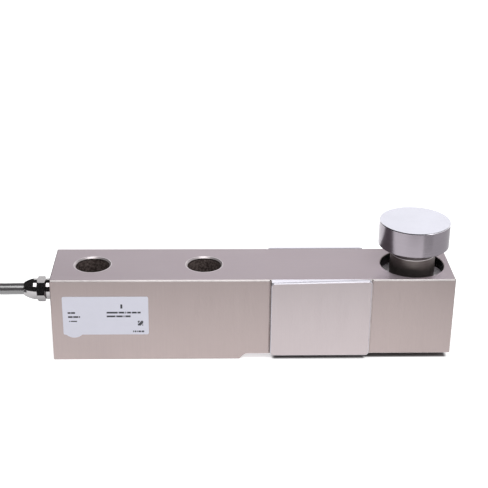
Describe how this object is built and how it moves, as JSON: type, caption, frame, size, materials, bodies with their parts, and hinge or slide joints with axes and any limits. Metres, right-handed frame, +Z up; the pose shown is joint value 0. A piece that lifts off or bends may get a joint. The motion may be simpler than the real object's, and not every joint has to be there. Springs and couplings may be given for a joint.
{
  "type": "cantilever beam load cell",
  "caption": "Stainless cantilever shear beam load cell with a stepped mounting foot, through bores, welded gauge covers, a mushroom load button and a glanded cable.",
  "frame": {"origin": "centre of the two mounting bores, on the underside of the mounting foot", "axes": "+X along the beam from the cable end to the load button, +Y to the rear face, +Z up through the load button"},
  "size_m": [0.4111, 0.0568, 0.0693],
  "materials": {
    "stainless_beam": "fine ground stainless steel, satin",
    "stainless_cover": "fine ground stainless sheet, satin",
    "stainless_button": "turned stainless steel, bright",
    "gauge_film": "amber polyimide film with foil grid",
    "glass_cloth_board": "green glass-cloth board",
    "resistor_body": "dark chip resistor",
    "bare_copper": "fine bare copper wire",
    "tinned_copper": "tinned copper strands",
    "wire_insulation_red": "red wire insulation",
    "wire_insulation_black": "black wire insulation",
    "wire_insulation_green": "green wire insulation",
    "wire_insulation_white": "white wire insulation",
    "nickel_plated_brass": "bright nickel plate",
    "seal_rubber": "black nitrile rubber",
    "cable_jacket": "grey cable jacket, satin",
    "nylon_tie": "black nylon",
    "shrink_sleeve": "black shrink sleeve",
    "label_film": "pale blue-white printed polyester film"
  },
  "bodies": {
    "root": {"beam_body": "stainless_beam", "front_cover_plate": "stainless_cover", "rear_cover_plate": "stainless_cover", "load_button": "stainless_button", "front_shear_gauge": "gauge_film", "rear_shear_gauge": "gauge_film", "front_terminal_strip": "glass_cloth_board", "rear_terminal_strip": "glass_cloth_board", "compensation_board": "glass_cloth_board", "trim_resistors": "resistor_body", "front_gauge_leads": "bare_copper", "rear_gauge_leads": "bare_copper", "bridge_wires": "wire_insulation_white", "board_wires": "wire_insulation_white", "inner_core_red": "wire_insulation_red", "inner_core_black": "wire_insulation_black", "inner_core_green": "wire_insulation_green", "inner_core_white": "wire_insulation_white", "lead_red": "wire_insulation_red", "lead_black": "wire_insulation_black", "lead_green": "wire_insulation_green", "lead_white": "wire_insulation_white", "lead_shield": "tinned_copper", "gland_body": "nickel_plated_brass", "gland_cap_nut": "nickel_plated_brass", "gland_thrust_washer": "stainless_button", "gland_face_ring": "seal_rubber", "gland_seal": "seal_rubber", "cable_run": "cable_jacket", "cable_tail": "cable_jacket", "cable_hank": "cable_jacket", "hank_ties": "nylon_tie", "end_sleeve": "shrink_sleeve", "rating_label": "label_film"}
  },
  "joints": []
}
